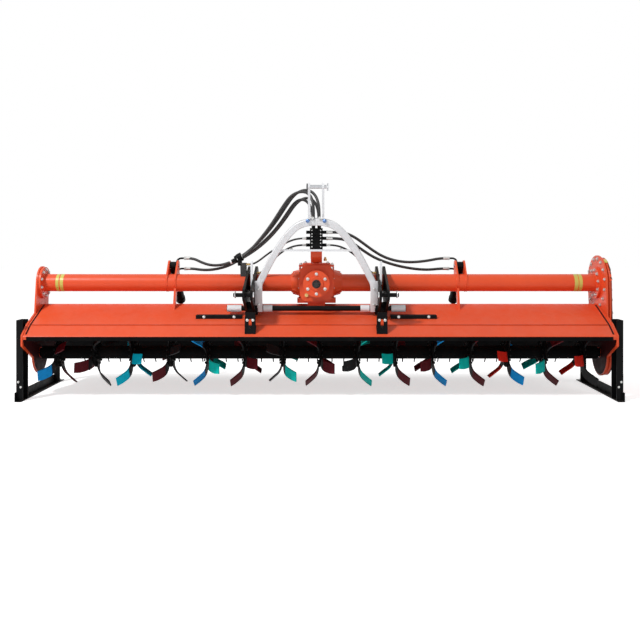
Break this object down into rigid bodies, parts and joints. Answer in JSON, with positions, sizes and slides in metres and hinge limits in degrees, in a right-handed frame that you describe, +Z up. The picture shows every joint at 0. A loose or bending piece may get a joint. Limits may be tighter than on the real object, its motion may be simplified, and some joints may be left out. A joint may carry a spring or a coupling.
{
  "type": "three-point mounted rotavator",
  "caption": "Three-point mounted rotavator: gearbox and cross tubes over a pressed hood, bladed rotor, side gear case, arch headstock and a hydraulically held levelling board.",
  "frame": {"origin": "middle of the bounding box's bottom, on the floor", "axes": "+X along the working width towards the gear case, +Y to the machine's rear, +Z up"},
  "size_m": [4.084, 1.188, 1.468],
  "materials": {
    "bare_steel": "satin",
    "black_paint": "satin",
    "blade_paint": "satin",
    "red_paint": "gloss",
    "rubber": "satin",
    "white_paint": "gloss"
  },
  "bodies": {
    "frame": {"arch": "white_paint", "cross_shaft": "black_paint", "deck_rails": "black_paint", "gear_case": "red_paint", "gearbox": "red_paint", "headstock_tie": "red_paint", "hinge_rod": "bare_steel", "hood": "red_paint", "hose_clamp": "rubber", "left_bearing": "red_paint", "left_cross_tube": "red_paint", "left_cylinder_bracket": "red_paint", "left_head_pin": "bare_steel", "left_hitch_bracket": "black_paint", "left_hose_1": "rubber", "left_hose_2": "rubber", "left_link_pin": "black_paint", "left_side_plate": "red_paint", "left_stand": "black_paint", "link_hose_left_1": "rubber", "link_hose_left_2": "rubber", "link_hose_right": "rubber", "mast_ears": "white_paint", "right_cross_tube": "red_paint", "right_cylinder_bracket": "red_paint", "right_head_pin": "bare_steel", "right_hitch_bracket": "black_paint", "right_hose_1": "rubber", "right_hose_2": "rubber", "right_link_pin": "black_paint", "right_side_plate": "red_paint", "right_stand": "black_paint", "shaft_sleeves": "white_paint", "slot_plates": "black_paint", "top_link_pin": "bare_steel", "tractor_hose_1": "rubber", "tractor_hose_2": "rubber", "tube_posts": "red_paint", "valve_block": "black_paint", "valve_shelf": "white_paint"},
    "rotor": {"rotor_shaft": "black_paint", "left_hand_blades": "blade_paint", "right_hand_blades": "blade_paint"},
    "input_shaft": {"pto_shaft": "bare_steel"},
    "board": {"levelling_board": "black_paint", "rod_pins": "bare_steel", "board_tines": "black_paint"},
    "left_barrel_body": {"left_barrel": "black_paint"},
    "left_rod_body": {"left_rod": "bare_steel"},
    "right_barrel_body": {"right_barrel": "black_paint"},
    "right_rod_body": {"right_rod": "bare_steel"}
  },
  "joints": [
    {"name": "rotor_spin", "type": "hinge", "parent": "frame", "child": "rotor", "pos_m": [0, -0.19799, 0.29], "axis": [1, 0, 0], "continuous": true},
    {"name": "input_shaft_spin", "type": "hinge", "parent": "frame", "child": "input_shaft", "pos_m": [-0.024, -0.34799, 0.782], "axis": [0, 1, 0], "continuous": true},
    {"name": "board_tilt", "type": "hinge", "parent": "frame", "child": "board", "pos_m": [0, 0.19201, 0.508], "axis": [1, 0, 0], "range_deg": [-6, 30]},
    {"name": "left_barrel_swing", "type": "hinge", "parent": "frame", "child": "left_barrel_body", "pos_m": [-1.059, -0.09299, 0.905], "axis": [1, 0, 0], "range_deg": [-2, 9.5]},
    {"name": "left_rod_slide", "type": "slide", "parent": "left_barrel_body", "child": "left_rod_body", "axis": [0, 0.7335, -0.6797], "range_m": [-0.07, 0.016]},
    {"name": "right_barrel_swing", "type": "hinge", "parent": "frame", "child": "right_barrel_body", "pos_m": [1.011, -0.09299, 0.905], "axis": [1, 0, 0], "range_deg": [-2, 9.5]},
    {"name": "right_rod_slide", "type": "slide", "parent": "right_barrel_body", "child": "right_rod_body", "axis": [0, 0.7335, -0.6797], "range_m": [-0.07, 0.016]}
  ],
  "couplings": [
    {"joint": "input_shaft_spin", "follows": "rotor_spin", "ratio": 2.5},
    {"joint": "left_barrel_swing", "follows": "board_tilt", "ratio": 0.3067},
    {"joint": "left_rod_slide", "follows": "board_tilt", "m_per_rad": -0.1282},
    {"joint": "right_barrel_swing", "follows": "board_tilt", "ratio": 0.3067},
    {"joint": "right_rod_slide", "follows": "board_tilt", "m_per_rad": -0.1282}
  ]
}
